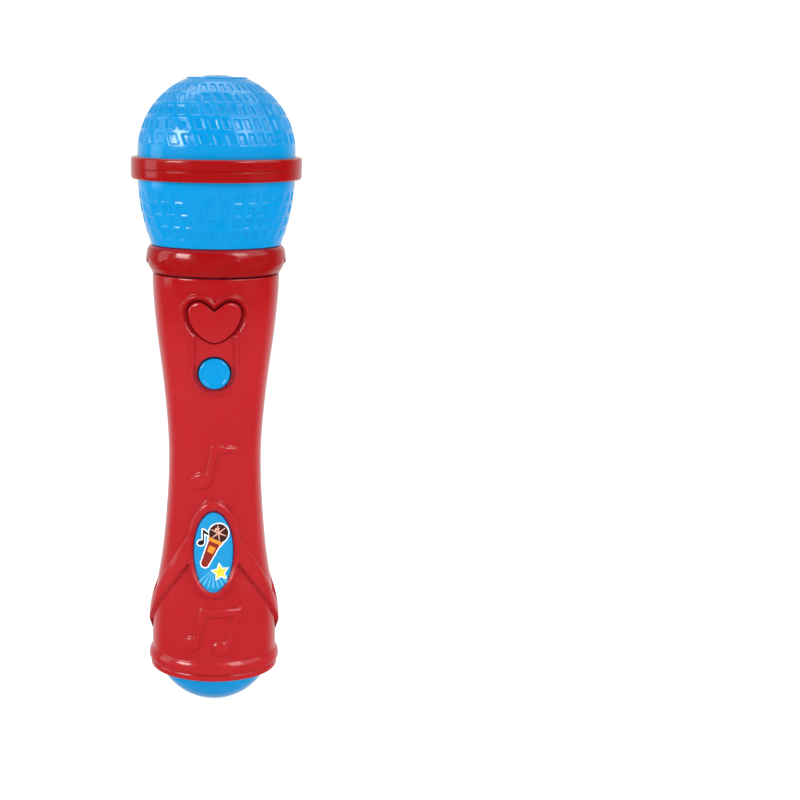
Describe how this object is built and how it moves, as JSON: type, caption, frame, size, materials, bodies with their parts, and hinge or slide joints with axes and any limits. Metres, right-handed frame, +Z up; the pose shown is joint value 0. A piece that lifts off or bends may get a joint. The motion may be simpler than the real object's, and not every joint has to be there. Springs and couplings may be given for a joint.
{
  "type": "toy microphone",
  "caption": "Hand-held toy microphone: two-shell waisted handle, domed grille head with speaker, push buttons, printed oval badge and rear battery cover.",
  "frame": {"origin": "lowest point of the domed foot, on the handle's axis", "axes": "+Z up the handle towards the head; the buttons and the badge face -Y"},
  "size_m": [0.0638, 0.0638, 0.24],
  "materials": {
    "red_plastic": "high-gloss moulded ABS",
    "blue_plastic": "high-gloss moulded ABS",
    "badge_print": "glossy printed vinyl label",
    "black_plastic": "fine matte",
    "white_plastic": "natural moulded polypropylene",
    "board_green": "solder mask",
    "steel": "nickel plated",
    "magnet": "sintered ferrite",
    "cone_paper": "pressed paper",
    "capacitor_sleeve": "shrink sleeve",
    "cell_sleeve": "printed sleeve",
    "red_wire": "soft PVC",
    "black_wire": "soft PVC"
  },
  "bodies": {
    "root": {"badge": "badge_print", "battery_cell_left": "cell_sleeve", "battery_cell_right": "cell_sleeve", "battery_lead_black": "black_wire", "battery_lead_red": "red_wire", "battery_tray": "white_plastic", "board_screw_1": "steel", "board_screw_2": "steel", "board_screw_3": "steel", "board_screw_4": "steel", "bracket_screw_1": "steel", "bracket_screw_2": "steel", "bracket_screw_3": "steel", "capacitor": "capacitor_sleeve", "case_screw_1": "steel", "case_screw_2": "steel", "case_screw_3": "steel", "case_screw_4": "steel", "case_screw_5": "steel", "circuit_board": "board_green", "contact_bridge": "steel", "contact_negative": "steel", "contact_positive": "steel", "contact_spring_high": "steel", "contact_spring_low": "steel", "equator_ring": "red_plastic", "foot_dome": "blue_plastic", "handle_front": "red_plastic", "handle_rear": "red_plastic", "head_cup": "blue_plastic", "head_dome": "blue_plastic", "heart_switch": "steel", "neck_collar": "red_plastic", "round_switch": "steel", "sound_chip": "black_plastic", "speaker_bracket": "white_plastic", "speaker_frame": "steel", "speaker_lead_black": "black_wire", "speaker_lead_red": "red_wire", "speaker_magnet": "magnet"},
    "heart_button": {"heart_button": "red_plastic"},
    "heart_plunger": {"heart_plunger": "black_plastic"},
    "round_button": {"round_button": "blue_plastic"},
    "round_plunger": {"round_plunger": "black_plastic"},
    "battery_cover": {"battery_cover": "red_plastic"},
    "cover_screw": {"cover_screw": "steel"},
    "speaker_cone": {"speaker_cone": "cone_paper"}
  },
  "joints": [
    {"name": "heart_press", "type": "slide", "parent": "root", "child": "heart_button", "axis": [0, 1, 0], "range_m": [0, 0.001], "stiffness_N_per_m": 500, "springref_m": -0.0006},
    {"name": "heart_plunger_press", "type": "slide", "parent": "root", "child": "heart_plunger", "axis": [0, 1, 0], "range_m": [0, 0.001]},
    {"name": "round_press", "type": "slide", "parent": "root", "child": "round_button", "axis": [0, 1, 0], "range_m": [0, 0.001], "stiffness_N_per_m": 500, "springref_m": -0.0006},
    {"name": "round_plunger_press", "type": "slide", "parent": "root", "child": "round_plunger", "axis": [0, 1, 0], "range_m": [0, 0.001]},
    {"name": "battery_cover_lift", "type": "slide", "parent": "root", "child": "battery_cover", "axis": [0, 1, 0], "range_m": [0, 0.03]},
    {"name": "cover_screw_turn", "type": "hinge", "parent": "battery_cover", "child": "cover_screw", "pos_m": [0, 0.018, 0.0915], "axis": [0, 1, 0], "continuous": true},
    {"name": "speaker_cone_travel", "type": "slide", "parent": "root", "child": "speaker_cone", "axis": [0, 0, 1], "range_m": [-0.0003, 0.0003], "stiffness_N_per_m": 400}
  ],
  "couplings": [
    {"joint": "heart_plunger_press", "follows": "heart_press", "ratio": 1},
    {"joint": "round_plunger_press", "follows": "round_press", "ratio": 1}
  ]
}
